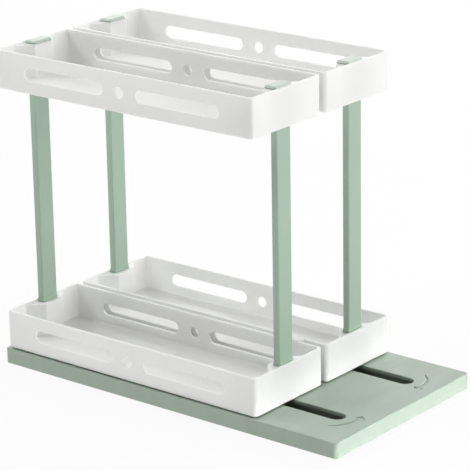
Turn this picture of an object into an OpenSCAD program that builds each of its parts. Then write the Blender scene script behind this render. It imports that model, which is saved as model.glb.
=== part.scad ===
// Pull-out spice organizer: two narrow two-tier racks side by side on one flat base.
// Each rack slides forward along a slot in the base and swivels on a stud near its rear end.
// Frame: X to the right, Y to the rear, Z up. The origin is under the middle of the base,
// on the surface that it stands on. The user stands at the -Y end, where the base shows.

/* [Trays] */
// Outer width of a tray
tray_w = 75; // [66:1:96]
// Outer length of a tray
tray_l = 229.5; // [205:0.5:245]
// Outer height of a tray
tray_h = 28; // [24:0.5:44]
// Thickness of a tray's walls
tray_wall = 2; // [1.6:0.1:2.8]
// Thickness of a tray's floor
tray_floor = 2.2; // [2:0.1:3.2]
// Radius of a tray's upright outer corners
tray_corner_r = 3; // [1:0.25:5]
// Radius of a tray's upright inner corners
tray_inner_r = 1.5; // [0.5:0.25:4]
// Bevel along a tray's lower edges
tray_edge = 0.8; // [0.2:0.1:1.2]
// Bevel along a tray's outer rim
rim_edge = 0.3; // [0.1:0.1:0.6]
// Height from the lower tray to the upper tray of a rack
tier_pitch = 195; // [130:1:240]
// Free gap between the two racks
rack_gap = 5; // [3:0.5:12]

/* [Side openings] */
// Height of the long openings in the side walls
vent_h = 9; // [6:0.5:12]
// Length of one long opening
vent_l = 73; // [40:1:80]
// Distance from the middle of the wall to the near end of a long opening
vent_in = 14.5; // [8:0.5:18]
// Diameter of the round opening in the middle
vent_hole_d = 8; // [4:0.5:10]

/* [Post bosses] */
// Width of a boss at its inner face
boss_face_w = 17.5; // [17:0.5:24]
// Width of a boss where it meets the end wall
boss_root_w = 40; // [28:1:50]
// Distance from a tray's outer end to the inner face of a boss
boss_reach = 12.2; // [11.5:0.1:13]
// How far the top of a boss lies below the rim
boss_drop = 1; // [0.5:0.1:2]

/* [Posts] */
// Width of a post, across the tray
post_w = 15; // [11:0.5:16]
// Thickness of a post, along the tray
post_t = 5.5; // [4.5:0.1:5.5]
// Radius of a post's long edges
post_r = 1; // [0.4:0.1:1.4]
// Distance from a tray's outer end to the middle of a post
post_in = 5.4; // [5.4:0.1:6]
// How far the collar at the foot stands out past the post
collar_lip = 0.5; // [0.2:0.05:0.6]
// Height of the collar at the foot
collar_h = 2.5; // [1.5:0.25:5]
// Depth of the socket in the lower tray's boss
socket_depth = 18; // [12:0.5:19]
// Step from the post to the tenon that enters the upper tray
shoulder = 0.7; // [0.5:0.1:0.9]

/* [Post caps] */
// Width of a cap
cap_w = 18; // [17:0.5:22]
// Depth of a cap, along the tray
cap_l = 10; // [9.6:0.1:10.6]
// Height of a cap above its boss
cap_h = 2; // [1.5:0.25:4]
// Corner radius of a cap
cap_r = 1.4; // [0.5:0.1:2]
// Bevel round the top of a cap
cap_bevel = 1; // [0.4:0.1:1.2]
// Length of the round plug under a cap
cap_plug = 1.8; // [1:0.1:2]

/* [Base] */
// Length of the base
base_l = 300; // [285:1:340]
// Height of the base, without its pads
base_h = 11.3; // [11:0.1:16]
// How far the base stands out past the racks on each side
side_inset = 1.5; // [0.5:0.5:10]
// How far the base stands out behind the racks
rear_inset = 2.3; // [1:0.1:6]
// Radius of the base's upright corners
base_corner_r = 3; // [1.5:0.5:8]
// Bevel along the base's upper edges
deck_edge = 0.6; // [0.2:0.1:1.2]
// Bevel along the base's lower edges
skirt_edge = 0.3; // [0.1:0.1:0.6]
// Thickness of the deck
deck_t = 2.5; // [2:0.1:3]
// Thickness of the skirt
skirt_t = 2.5; // [2:0.1:3]
// Radius of the skirt's inner corners
skirt_inner_r = 1.5; // [0.5:0.25:4]
// Thickness of the ribs under the deck
rib_t = 2; // [1.2:0.1:3]
// Thickness of the bottom cover
cover_t = 1.5; // [1.2:0.1:1.8]

/* [Slots and arrows] */
// Width of a slot in the deck
slot_w = 12; // [11.6:0.1:14]
// Distance from the base's front edge to the tip of a slot
slot_front = 22; // [20:0.5:34]
// Bevel round a slot
slot_edge = 0.6; // [0.2:0.1:1]
// Middle radius of the turning arrow
arrow_r = 23.6; // [21:0.1:25]
// Greatest width of the arrow's tail
arrow_band = 3.5; // [1.5:0.1:5]
// Width of the arrow's head
arrow_head_w = 8.4; // [6:0.1:10]
// Length of the arrow's head
arrow_head_l = 4.6; // [3:0.1:8]
// Depth of the arrow in the deck
arrow_depth = 0.6; // [0.2:0.1:1]
// How far the arrow's centre lies from the slot towards the middle of the base
arrow_shift = 2.4; // [0:0.1:4]
// How far the arrow's centre lies behind the slot's round end
arrow_back = 8.5; // [5:0.1:10]

/* [Slide and pivot] */
// Distance from a tray's rear end to the pivot
pivot_in = 16; // [15.8:0.1:20]
// Diameter of the stud where it turns in the shoe
stud_d = 8; // [7:0.1:8.4]
// Diameter of the stud's spigot in the tray
spigot_d = 9; // [8:0.1:9.4]
// Height of the spigot
spigot_h = 5; // [5:0.1:8]
// Diameter of the stud's flange under the tray
flange_d = 12; // [10.5:0.1:13]
// Thickness of the stud's flange
flange_t = 0.8; // [0.5:0.05:0.85]
// Outer diameter of the boss that holds the spigot
pivot_boss_d = 13; // [12:0.1:15]
// Thickness of the boss's roof over the spigot
pivot_roof = 1.2; // [1:0.1:2]
// Width and length of the shoe's plate
shoe_w = 22; // [18:0.5:24]
// Thickness of the shoe's plate
shoe_t = 2.2; // [1.6:0.1:2.4]
// Outer diameter of the retaining washer
washer_d = 14; // [12:0.5:18]
// Thickness of the retaining washer
washer_t = 1; // [0.6:0.1:1.2]

/* [Pads] */
// Height of the tray above the deck, which the glide pads fill
glide_h = 1; // [0.95:0.05:3]
// Diameter of a glide pad
glide_d = 9; // [6:0.5:12]
// How deep a glide pad is set into the tray's floor
glide_sink = 0.8; // [0.4:0.1:1]
// Distance from a tray's side to the middle of its glide pads
glide_in = 10; // [8:0.5:14]
// Number of glide pads along each side of a tray
glide_n = 3; // [2:1:5]
// Diameter of an anti-slip pad under the base
pad_d = 14; // [10:0.5:16]
// How far the anti-slip pads stand out below the base
pad_proud = 0.7; // [0.4:0.1:2]
// How deep the anti-slip pads are set into the cover
pad_sink = 0.5; // [0.3:0.1:0.7]
// Distance from the base's side to the outer pads
pad_in_x = 17; // [16:0.5:18]
// Distance from the base's ends to the pads
pad_in_y = 32; // [28:1:60]

/* [Screws] */
// Shank diameter of the post screws
post_screw_d = 2.8; // [2:0.1:3]
// Length of the post screws under the head
post_screw_l = 14; // [12:0.5:20]
// Head diameter of the post screws
post_head_d = 5.6; // [4.8:0.1:6]
// Head height of the post screws
post_head_h = 2; // [1.4:0.1:2.2]
// Shank diameter of the pivot screws
pivot_screw_d = 4; // [3:0.1:4.6]
// Length of the pivot screws under the head
pivot_screw_l = 5.8; // [5:0.1:6]
// Head diameter of the pivot screws
pivot_head_d = 7; // [6:0.1:7.4]
// Head height of the pivot screws
pivot_head_h = 1.8; // [1.2:0.1:2]
// Shank diameter of the cover screws
cover_screw_d = 2.6; // [2:0.1:3]
// Length of the cover screws under the head
cover_screw_l = 5; // [3:0.1:5.5]
// Head diameter of the cover screws
cover_head_d = 5.4; // [4.4:0.1:6]
// Distance from the base's edges to the cover screws
screw_in = 11.5; // [10:0.1:12.5]

/* [Clearances] */
// Radial clearance of the stud in the shoe and in the tray
run_clear = 0.05; // [0.02:0.01:0.1]
// Clearance of the shoe's neck in the slot, on each side
neck_clear = 0.15; // [0.1:0.05:0.3]
// Clearance of the shoe's plate to the deck and to the guide ribs
plate_clear = 0.2; // [0.1:0.05:0.4]
// Clearance at each end of the slot when the shoe stops
stop_clear = 0.3; // [0.2:0.05:1]
// Running gap under the glide pads and over the shoe's neck
glide_clear = 0.1; // [0.05:0.05:0.15]
// Clearance of a post in its socket, on each side
socket_clear = 0.1; // [0.05:0.05:0.2]
// Clearance of screw shanks, on each side
shank_clear = 0.05; // [0.02:0.01:0.1]
// Clearance of screw heads in their pockets, on each side
head_clear = 0.3; // [0.2:0.05:0.4]
// Clearance of pads and plugs in their seats, on each side
seat_clear = 0.05; // [0.02:0.01:0.1]
// Clearance of the bottom cover in the skirt, on each side
cover_clear = 0.2; // [0.1:0.05:0.5]
// Clearance between a cap and the tray's end wall
cap_clear = 0.1; // [0.05:0.05:0.3]

/* [Hidden] */

$fn = 64;

// Which rack a piece belongs to, as the sign of its X
LEFT = -1;
RIGHT = 1;
// Which end of a rack a piece is at, as the sign of its Y
FRONT = -1;
REAR = 1;

// Colours
sage = [0.68, 0.78, 0.70];
white = [0.95, 0.95, 0.95];
acetal = [0.90, 0.89, 0.85];
rubber = [0.22, 0.23, 0.22];
steel = [0.70, 0.71, 0.72];
black = [0.13, 0.13, 0.13];

// How far a cut runs past the face that it opens
over = 1;

// Small pieces whose sizes nobody sets by hand
// Length, height and rise above the rim of the spacer lug on a lower tray
lug_l = 11;
lug_h = 4;
lug_rise = 0.8;
// Distance from a lower tray's front end to its spacer lug
lug_in = 20;
// Play between the two spacer lugs
lug_play = 0.6;
// Thickness of the boss's web between a post's tenon and the screw head over it
web_t = 2.4;
// Room above a tenon's end, and below a post's end in its socket
tenon_play = 0.2;
// Depth of the pocket for a post screw's head
head_pocket = 4;
// Depth of the recess for a post screw's head under the lower tray
foot_recess = 2.6;
// Width, length and depth of the cross drive in a screw head
drive_w = 0.7;
drive_l = 3;
drive_depth = 0.9;
// Outer diameter of the bosses that take the cover screws
cover_boss_d = 7;
// Room past a screw's tip
tip_play = 0.3;
// Points along the arrow's tail
arrow_steps = 14;
// Where the arrow starts and where its head begins, in degrees round its centre
arrow_from = 215;
arrow_to = 277;
// Number of ribs across the base
cross_ribs = 5;

// Heights
base_z = pad_proud;
deck_z = base_z + base_h;
cover_top_z = base_z + cover_t;
deck_under_z = deck_z - deck_t;
lower_z = deck_z + glide_h;
upper_z = lower_z + tier_pitch;
shoe_top_z = deck_under_z - plate_clear;
shoe_z = shoe_top_z - shoe_t;
stud_z = shoe_z - glide_clear;
boss_h = tray_h - boss_drop;
boss_top_z = lower_z + boss_h;
cap_z = upper_z + boss_h;
tenon_h = boss_h - head_pocket - web_t - tenon_play;

// Places across and along the base
rack_x = (tray_w + rack_gap) / 2;
base_w = 2 * (tray_w + side_inset) + rack_gap;
tray_rear_y = base_l / 2 - rear_inset;
tray_y = tray_rear_y - tray_l / 2;
post_y = tray_l / 2 - post_in;
cap_y = tray_l / 2 - tray_wall - cap_clear - cap_l / 2;
pivot_y = tray_rear_y - pivot_in;
slot_front_y = -base_l / 2 + slot_front + slot_w / 2;
slot_rear_y = pivot_y + stop_clear;
guide_w = shoe_w + 2 * plate_clear;
screw_x = base_w / 2 - screw_in;
screw_y = base_l / 2 - screw_in;
pad_x = base_w / 2 - pad_in_x;
pad_y = base_l / 2 - pad_in_y;

// Shapes that several pieces share

// A rectangle with round corners, centred
module round_rect(w, l, r) {
    square([w - 2 * r, l], center = true);
    square([w, l - 2 * r], center = true);
    for (x = [-1, 1], y = [-1, 1])
        translate([x * (w / 2 - r), y * (l / 2 - r)]) circle(r);
}

// A slot outline of length l over its round ends, lying along X
module slot_outline(l, h) {
    square([l - h, h], center = true);
    for (x = [-1, 1])
        translate([x * (l - h) / 2, 0]) circle(h / 2);
}

function bevelled_side(w, h, low, high) = [
    [-w / 2 + low, 0],
    [w / 2 - low, 0],
    [w / 2, low],
    [w / 2, h - high],
    [w / 2 - high, h],
    [-w / 2 + high, h],
    [-w / 2, h - high],
    [-w / 2, low]
];

// A block with round upright corners and bevelled lower and upper edges, standing on z = 0
module bevelled_block(w, l, h, r, low, high) {
    intersection() {
        linear_extrude(h) round_rect(w, l, r);
        rotate([90, 0, 0])
            linear_extrude(l + 2 * over, center = true) polygon(bevelled_side(w, h, low, high));
        rotate([90, 0, 90])
            linear_extrude(w + 2 * over, center = true) polygon(bevelled_side(l, h, low, high));
    }
}

// A pan-head screw with a cross drive, its head standing on z = 0 and its shank below
module pan_screw(d, l, head_d, head_h) {
    difference() {
        union() {
            cylinder(h = head_h, d = head_d);
            translate([0, 0, -l]) cylinder(h = l + head_h / 2, d = d);
        }
        for (turn = [0, 90])
            rotate([0, 0, turn])
                translate([-drive_l / 2, -drive_w / 2, head_h - drive_depth])
                    cube([drive_l, drive_w, drive_depth + over]);
    }
}

// Trays

function boss_outline() = [
    [-boss_root_w / 2, tray_wall / 2],
    [-boss_root_w / 2, tray_wall],
    [-boss_face_w / 2, boss_reach],
    [boss_face_w / 2, boss_reach],
    [boss_root_w / 2, tray_wall],
    [boss_root_w / 2, tray_wall / 2]
];

// The boss inside one end wall; its outline is measured from the tray's outer end
module post_boss(end) {
    translate([0, end * tray_l / 2, tray_floor / 2])
        linear_extrude(boss_h - tray_floor / 2)
            polygon([for (p = boss_outline()) [p[0], -end * p[1]]]);
}

module tray_openings() {
    rotate([90, 0, 90])
        linear_extrude(tray_w + 2 * over, center = true) {
            for (end = [FRONT, REAR])
                translate([end * (vent_in + vent_l / 2), tray_h / 2]) slot_outline(vent_l, vent_h);
            translate([0, tray_h / 2]) circle(d = vent_hole_d);
        }
}

// The walls, floor and bosses that both trays have, standing on z = 0
module tray_body() {
    difference() {
        bevelled_block(tray_w, tray_l, tray_h, tray_corner_r, tray_edge, rim_edge);
        translate([0, 0, tray_floor])
            linear_extrude(tray_h)
                round_rect(tray_w - 2 * tray_wall, tray_l - 2 * tray_wall, tray_inner_r);
        tray_openings();
    }
    post_boss(FRONT);
    post_boss(REAR);
}

function glide_places() = [
    for (x = [-1, 1], i = [0 : glide_n - 1])
        [
            x * (tray_w / 2 - glide_in),
            (i / (glide_n - 1) - 0.5) * (tray_l - 4 * glide_in)
        ]
];

// The spacer lug on the wall that faces the other rack
module spacer_lug(side) {
    out = (rack_gap - lug_play) / 2;
    wall_x = -side * tray_w / 2;
    translate([
        side > 0 ? wall_x - out : wall_x - tray_wall / 2,
        -tray_l / 2 + lug_in,
        tray_h + lug_rise - lug_h
    ])
        cube([out + tray_wall / 2, lug_l, lug_h]);
}

module lower_tray(side) {
    color(white)
        translate([side * rack_x, tray_y, lower_z])
            difference() {
                union() {
                    tray_body();
                    spacer_lug(side);
                    translate([0, tray_l / 2 - pivot_in, tray_floor / 2])
                        cylinder(h = spigot_h + pivot_roof - tray_floor / 2, d = pivot_boss_d);
                }
                for (end = [FRONT, REAR])
                    translate([0, end * post_y, 0]) {
                        translate([0, 0, boss_h - socket_depth])
                            linear_extrude(socket_depth + over)
                                round_rect(
                                    post_w + 2 * socket_clear,
                                    post_t + 2 * socket_clear,
                                    post_r
                                );
                        translate([0, 0, -over])
                            cylinder(h = tray_h, d = post_screw_d + 2 * shank_clear);
                        translate([0, 0, -over])
                            cylinder(h = foot_recess + over, d = post_head_d + 2 * head_clear);
                    }
                translate([0, tray_l / 2 - pivot_in, 0]) {
                    translate([0, 0, -over])
                        cylinder(h = spigot_h + over, d = spigot_d + 2 * run_clear);
                    cylinder(
                        h = spigot_h + pivot_roof + over,
                        d = pivot_screw_d + 2 * shank_clear
                    );
                }
                for (p = glide_places())
                    translate([p[0], p[1], -over])
                        cylinder(h = glide_sink + over, d = glide_d + 2 * seat_clear);
            }
}

module upper_tray(side) {
    color(white)
        translate([side * rack_x, tray_y, upper_z])
            difference() {
                tray_body();
                for (end = [FRONT, REAR])
                    translate([0, end * post_y, 0]) {
                        translate([0, 0, -over])
                            linear_extrude(tenon_h + tenon_play + over)
                                round_rect(
                                    post_w - 2 * (shoulder - socket_clear),
                                    post_t - 2 * (shoulder - socket_clear),
                                    post_r
                                );
                        cylinder(h = tray_h, d = post_screw_d + 2 * shank_clear);
                        translate([0, 0, boss_h - head_pocket])
                            cylinder(h = head_pocket + over, d = post_head_d + 2 * head_clear);
                    }
            }
}

// Posts, their caps and screws

module post(side, end) {
    foot_z = boss_top_z - socket_depth + tenon_play;
    tenon_top_z = upper_z + tenon_h;
    color(sage)
        translate([side * rack_x, tray_y + end * post_y, 0])
            difference() {
                union() {
                    translate([0, 0, foot_z])
                        linear_extrude(upper_z - foot_z) round_rect(post_w, post_t, post_r);
                    translate([0, 0, boss_top_z])
                        linear_extrude(collar_h)
                            round_rect(
                                post_w + 2 * collar_lip,
                                post_t + 2 * collar_lip,
                                post_r + collar_lip / 2
                            );
                    translate([0, 0, upper_z - shoulder])
                        linear_extrude(tenon_h + shoulder)
                            round_rect(post_w - 2 * shoulder, post_t - 2 * shoulder, post_r);
                }
                translate([0, 0, foot_z - over])
                    cylinder(h = post_screw_l + over, d = post_screw_d + 2 * shank_clear);
                translate([0, 0, tenon_top_z - post_screw_l])
                    cylinder(h = post_screw_l + over, d = post_screw_d + 2 * shank_clear);
            }
}

module post_cap(side, end) {
    color(sage)
        translate([side * rack_x, tray_y, cap_z]) {
            translate([0, end * cap_y, 0])
                bevelled_block(cap_w, cap_l, cap_h, cap_r, cap_bevel / 4, cap_bevel);
            translate([0, end * post_y, -cap_plug])
                cylinder(
                    h = cap_plug + cap_h / 2,
                    d = post_head_d + 2 * (head_clear - seat_clear)
                );
        }
}

module post_screws(side) {
    color(steel)
        for (end = [FRONT, REAR])
            translate([side * rack_x, tray_y + end * post_y, 0]) {
                translate([0, 0, cap_z - head_pocket])
                    pan_screw(post_screw_d, post_screw_l, post_head_d, post_head_h);
                translate([0, 0, lower_z + foot_recess])
                    rotate([180, 0, 0])
                        pan_screw(post_screw_d, post_screw_l, post_head_d, post_head_h);
            }
}

// Slide and pivot

module slide_shoe(side) {
    color(acetal)
        translate([side * rack_x, pivot_y, 0])
            difference() {
                union() {
                    translate([0, 0, shoe_z])
                        linear_extrude(shoe_t) round_rect(shoe_w, shoe_w, slot_edge);
                    translate([0, 0, shoe_z])
                        cylinder(
                            h = deck_z - glide_clear - shoe_z,
                            d = slot_w - 2 * neck_clear
                        );
                }
                translate([0, 0, shoe_z - over])
                    cylinder(h = deck_z - shoe_z + 2 * over, d = stud_d + 2 * run_clear);
            }
}

module pivot_stud(side) {
    pilot = pivot_screw_l - pivot_roof + tip_play;
    top_z = lower_z + spigot_h;
    color(steel)
        translate([side * rack_x, pivot_y, 0])
            difference() {
                union() {
                    translate([0, 0, stud_z]) cylinder(h = lower_z - stud_z, d = stud_d);
                    translate([0, 0, lower_z - flange_t]) cylinder(h = flange_t, d = flange_d);
                    translate([0, 0, lower_z - flange_t])
                        cylinder(h = spigot_h + flange_t, d = spigot_d);
                }
                translate([0, 0, top_z - pilot])
                    cylinder(h = pilot + over, d = pivot_screw_d + 2 * shank_clear);
                translate([0, 0, stud_z - over])
                    cylinder(h = pilot + over, d = pivot_screw_d + 2 * shank_clear);
            }
}

module retaining_washer(side) {
    color(steel)
        translate([side * rack_x, pivot_y, stud_z - washer_t])
            difference() {
                cylinder(h = washer_t, d = washer_d);
                translate([0, 0, -over])
                    cylinder(h = washer_t + 2 * over, d = pivot_screw_d + 2 * shank_clear);
            }
}

module pivot_screws(side) {
    color(steel)
        translate([side * rack_x, pivot_y, 0]) {
            translate([0, 0, lower_z + spigot_h + pivot_roof])
                pan_screw(pivot_screw_d, pivot_screw_l, pivot_head_d, pivot_head_h);
            translate([0, 0, stud_z - washer_t])
                rotate([180, 0, 0])
                    pan_screw(pivot_screw_d, pivot_screw_l, pivot_head_d, pivot_head_h);
        }
}

module glide_pads(side) {
    color(acetal)
        for (p = glide_places())
            translate([side * rack_x + p[0], tray_y + p[1], deck_z + glide_clear])
                cylinder(h = glide_h - glide_clear + glide_sink, d = glide_d);
}

// Base

function screw_places() = concat(
    [for (x = [-1, 1], y = [-1, 0, 1]) [x * screw_x, y * screw_y]],
    [for (y = [-1, 1]) [0, y * screw_y]]
);

function pad_places() = [for (x = [-1, 0, 1], y = [-1, 1]) [x * pad_x, y * pad_y]];

// The slot through the deck, with its bevel
module slot_cut(side) {
    run = slot_rear_y - slot_front_y;
    half = slot_w / 2;
    wide = half + slot_edge + over;
    translate([side * rack_x, 0, 0]) {
        translate([0, (slot_front_y + slot_rear_y) / 2, deck_under_z - over])
            linear_extrude(deck_t + 2 * over) rotate(90) slot_outline(run + slot_w, slot_w);
        for (y = [slot_front_y, slot_rear_y])
            translate([0, y, deck_z - slot_edge])
                cylinder(h = slot_edge + over, r1 = half, r2 = wide);
        translate([0, slot_rear_y, deck_z - slot_edge])
            rotate([90, 0, 0])
                linear_extrude(run)
                    polygon([
                        [-half, 0],
                        [half, 0],
                        [wide, slot_edge + over],
                        [-wide, slot_edge + over]
                    ]);
    }
}

// A point at radius r and angle a, its X turned towards the middle of the base
function arrow_point(side, r, a) = [-side * r * cos(a), r * sin(a)];

// The tail grows from nothing to its full width, and ends in a head
function arrow_outline(side) = concat(
    [arrow_point(side, arrow_r, arrow_from)],
    [
        for (i = [1 : arrow_steps])
            arrow_point(
                side,
                arrow_r + arrow_band / 2 * i / arrow_steps,
                arrow_from + (arrow_to - arrow_from) * i / arrow_steps
            )
    ],
    [
        arrow_point(side, arrow_r + arrow_head_w / 2, arrow_to),
        arrow_point(side, arrow_r, arrow_to + arrow_head_l / arrow_r * 180 / PI),
        arrow_point(side, arrow_r - arrow_head_w / 2, arrow_to)
    ],
    [
        for (i = [arrow_steps : -1 : 1])
            arrow_point(
                side,
                arrow_r - arrow_band / 2 * i / arrow_steps,
                arrow_from + (arrow_to - arrow_from) * i / arrow_steps
            )
    ]
);

module arrow_cut(side) {
    translate([
        side * (rack_x - arrow_shift),
        slot_front_y + arrow_back,
        deck_z - arrow_depth
    ])
        linear_extrude(arrow_depth + over) polygon(arrow_outline(side));
}

// The ribs under the deck: a pair along each slot that guides the shoe, and ribs across
module base_ribs() {
    h = deck_under_z + deck_t / 2 - cover_top_z;
    inner_w = base_w - skirt_t;
    inner_l = base_l - skirt_t;
    for (side = [LEFT, RIGHT], edge = [-1, 1])
        translate([
            side * rack_x + edge * (guide_w + rib_t) / 2 - rib_t / 2,
            -inner_l / 2,
            cover_top_z
        ])
            cube([rib_t, inner_l, h]);
    difference() {
        for (i = [1 : cross_ribs])
            translate([
                -inner_w / 2,
                -inner_l / 2 + i * inner_l / (cross_ribs + 1) - rib_t / 2,
                cover_top_z
            ])
                cube([inner_w, rib_t, h]);
        for (side = [LEFT, RIGHT])
            translate([side * rack_x - guide_w / 2, -inner_l / 2, cover_top_z - over])
                cube([guide_w, inner_l, h + 2 * over]);
    }
    for (p = screw_places())
        translate([p[0], p[1], cover_top_z]) cylinder(h = h, d = cover_boss_d);
}

module base_shell() {
    pilot = cover_screw_l - cover_t + tip_play;
    color(sage)
        difference() {
            union() {
                difference() {
                    translate([0, 0, base_z])
                        bevelled_block(base_w, base_l, base_h, base_corner_r, skirt_edge, deck_edge);
                    translate([0, 0, base_z - over])
                        linear_extrude(base_h - deck_t + over)
                            round_rect(
                                base_w - 2 * skirt_t,
                                base_l - 2 * skirt_t,
                                skirt_inner_r
                            );
                }
                base_ribs();
            }
            for (side = [LEFT, RIGHT]) {
                slot_cut(side);
                arrow_cut(side);
            }
            for (p = screw_places())
                translate([p[0], p[1], cover_top_z - over])
                    cylinder(h = pilot + over, d = cover_screw_d + 2 * shank_clear);
        }
}

module base_cover() {
    color(black)
        translate([0, 0, base_z])
            difference() {
                linear_extrude(cover_t)
                    round_rect(
                        base_w - 2 * (skirt_t + cover_clear),
                        base_l - 2 * (skirt_t + cover_clear),
                        skirt_inner_r
                    );
                for (p = screw_places())
                    translate([p[0], p[1], 0]) {
                        cylinder(
                            h = cover_t,
                            d1 = cover_head_d + 2 * shank_clear,
                            d2 = cover_screw_d + 2 * shank_clear
                        );
                        translate([0, 0, -over])
                            cylinder(h = cover_t + 2 * over, d = cover_screw_d + 2 * shank_clear);
                    }
                for (p = pad_places())
                    translate([p[0], p[1], -over])
                        cylinder(h = pad_sink + over, d = pad_d + 2 * seat_clear);
            }
}

module cover_screws() {
    color(steel)
        for (p = screw_places())
            translate([p[0], p[1], base_z])
                difference() {
                    union() {
                        cylinder(h = cover_t, d1 = cover_head_d, d2 = cover_screw_d);
                        cylinder(h = cover_screw_l, d = cover_screw_d);
                    }
                    for (turn = [0, 90])
                        rotate([0, 0, turn])
                            translate([-drive_l / 2, -drive_w / 2, -over])
                                cube([drive_l, drive_w, drive_depth + over]);
                }
}

module foot_pads() {
    color(rubber)
        for (p = pad_places())
            translate([p[0], p[1], 0]) cylinder(h = pad_proud + pad_sink, d = pad_d);
}

base_shell();
base_cover();
cover_screws();
foot_pads();
slide_shoe(LEFT);  // left_slide_shoe
pivot_stud(LEFT);  // left_pivot_stud
retaining_washer(LEFT);  // left_retaining_washer
pivot_screws(LEFT);  // left_pivot_screws
lower_tray(LEFT);  // left_lower_tray
upper_tray(LEFT);  // left_upper_tray
post(LEFT, FRONT);  // left_front_post
post(LEFT, REAR);  // left_rear_post
post_cap(LEFT, FRONT);  // left_front_cap
post_cap(LEFT, REAR);  // left_rear_cap
post_screws(LEFT);  // left_post_screws
glide_pads(LEFT);  // left_glide_pads
slide_shoe(RIGHT);  // right_slide_shoe
pivot_stud(RIGHT);  // right_pivot_stud
retaining_washer(RIGHT);  // right_retaining_washer
pivot_screws(RIGHT);  // right_pivot_screws
lower_tray(RIGHT);  // right_lower_tray
upper_tray(RIGHT);  // right_upper_tray
post(RIGHT, FRONT);  // right_front_post
post(RIGHT, REAR);  // right_rear_post
post_cap(RIGHT, FRONT);  // right_front_cap
post_cap(RIGHT, REAR);  // right_rear_cap
post_screws(RIGHT);  // right_post_screws
glide_pads(RIGHT);  // right_glide_pads
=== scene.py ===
"""Looks of a pull-out spice organizer.

Two white two-tier racks stand on a sage-green base. Each rack slides forward along a slot in the base and
swivels on a stud near its rear end. Lengths are in metres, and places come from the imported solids.
"""

import logging
import math
from collections.abc import Callable, Iterable, Mapping, Sequence
from dataclasses import dataclass
from enum import Enum, IntEnum
from functools import partial
from itertools import pairwise

import bmesh
import bpy
from mathutils import Matrix, Vector


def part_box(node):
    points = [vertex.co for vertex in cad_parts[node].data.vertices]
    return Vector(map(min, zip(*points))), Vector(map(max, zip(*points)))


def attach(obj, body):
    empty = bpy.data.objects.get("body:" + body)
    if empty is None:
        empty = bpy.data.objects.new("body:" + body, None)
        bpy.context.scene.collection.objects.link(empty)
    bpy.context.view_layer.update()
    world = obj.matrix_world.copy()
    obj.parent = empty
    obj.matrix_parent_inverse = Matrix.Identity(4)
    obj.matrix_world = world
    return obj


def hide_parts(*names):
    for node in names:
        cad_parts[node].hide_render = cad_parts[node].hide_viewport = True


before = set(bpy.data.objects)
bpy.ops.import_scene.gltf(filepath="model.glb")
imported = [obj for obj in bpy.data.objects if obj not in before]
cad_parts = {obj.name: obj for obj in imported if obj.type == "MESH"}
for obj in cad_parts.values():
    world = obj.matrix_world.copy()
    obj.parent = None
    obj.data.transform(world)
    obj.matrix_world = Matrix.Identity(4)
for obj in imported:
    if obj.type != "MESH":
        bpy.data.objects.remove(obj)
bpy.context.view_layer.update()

LOG = logging.getLogger("spice_organizer")
MM = 0.001
OVER = 1.0 * MM  # how far a cutter runs past the face that it opens
SHARPEST = 0.02 * MM  # smallest radius that an inset corner keeps
TOUCH = SHARPEST / 10  # points nearer to each other than this are one
CRISP = 38.0  # an edge that turns by more degrees than this stays crisp
RIDGE = 60.0  # a softened edge turns outwards by more degrees than this
SOFT_FACES = 2  # how many faces a softened edge becomes
MIDDLE = 1.0 * MM  # a place on a grid that is nearer to its centre than this is the middle one
THREAD_SIDES = 3  # a thread is a wound triangle
NOISE_LOW, NOISE_HIGH = 0.25, 0.75  # nearly all values of a noise lie between these
ORIGIN = Vector((0.0, 0.0, 0.0))
OVERTURNED = Matrix.Rotation(math.pi, 4, "X")

Piece = bpy.types.Object
Tree = bpy.types.NodeTree
Node = bpy.types.Node
Socket = bpy.types.NodeSocket
Profile = Sequence[tuple[float, float]]
Loop = list[bmesh.types.BMVert]
Adder = Callable[..., Node]


class Chords(IntEnum):
    """How many chords a round corner or a round stretch of a profile has."""

    SQUARE = 1
    SCANT = 2
    FEW = 3
    FAIR = 4
    FINE = 5
    FINER = 6
    TURNED = 8
    LONG = 10
    LARGE = 12


class Side(Enum):
    """The rack that a piece belongs to; the value is the sign of its X."""

    LEFT = -1
    RIGHT = 1

    @property
    def word(self) -> str:
        """The side's word in the names of pieces."""
        return self.name.lower()

    @property
    def rack(self) -> str:
        """The CAD body of the rack."""
        return self.node("rack")

    def node(self, part: str) -> str:
        """The CAD name of one of the rack's parts."""
        return f"{self.word}_{part}"

    def box(self, part: str) -> "Box":
        """The space of one of the rack's parts."""
        return Box.of(self.node(part))


class End(Enum):
    """The end of a rack, by its word in the names of pieces."""

    FRONT = "front"
    REAR = "rear"


class Tier(Enum):
    """The level of a tray in its rack."""

    LOWER = "lower"
    UPPER = "upper"


class Join(Enum):
    """What a tool does to the piece that it meets."""

    ADD = "UNION"
    CUT = "DIFFERENCE"


class Head(Enum):
    """The form of a screw's head."""

    PAN = "pan"
    COUNTERSUNK = "countersunk"


@dataclass(frozen=True)
class Box:
    """The space that one CAD node fills at rest."""

    low: Vector
    high: Vector

    @classmethod
    def of(cls, node: str) -> "Box":
        """Reads a node's space from its imported mesh."""
        return cls(*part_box(node))

    @property
    def centre(self) -> Vector:
        """The middle of the space."""
        return (self.low + self.high) / 2

    @property
    def size(self) -> Vector:
        """The space's width, length and height."""
        return self.high - self.low


# Outlines, skins and tools


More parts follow.
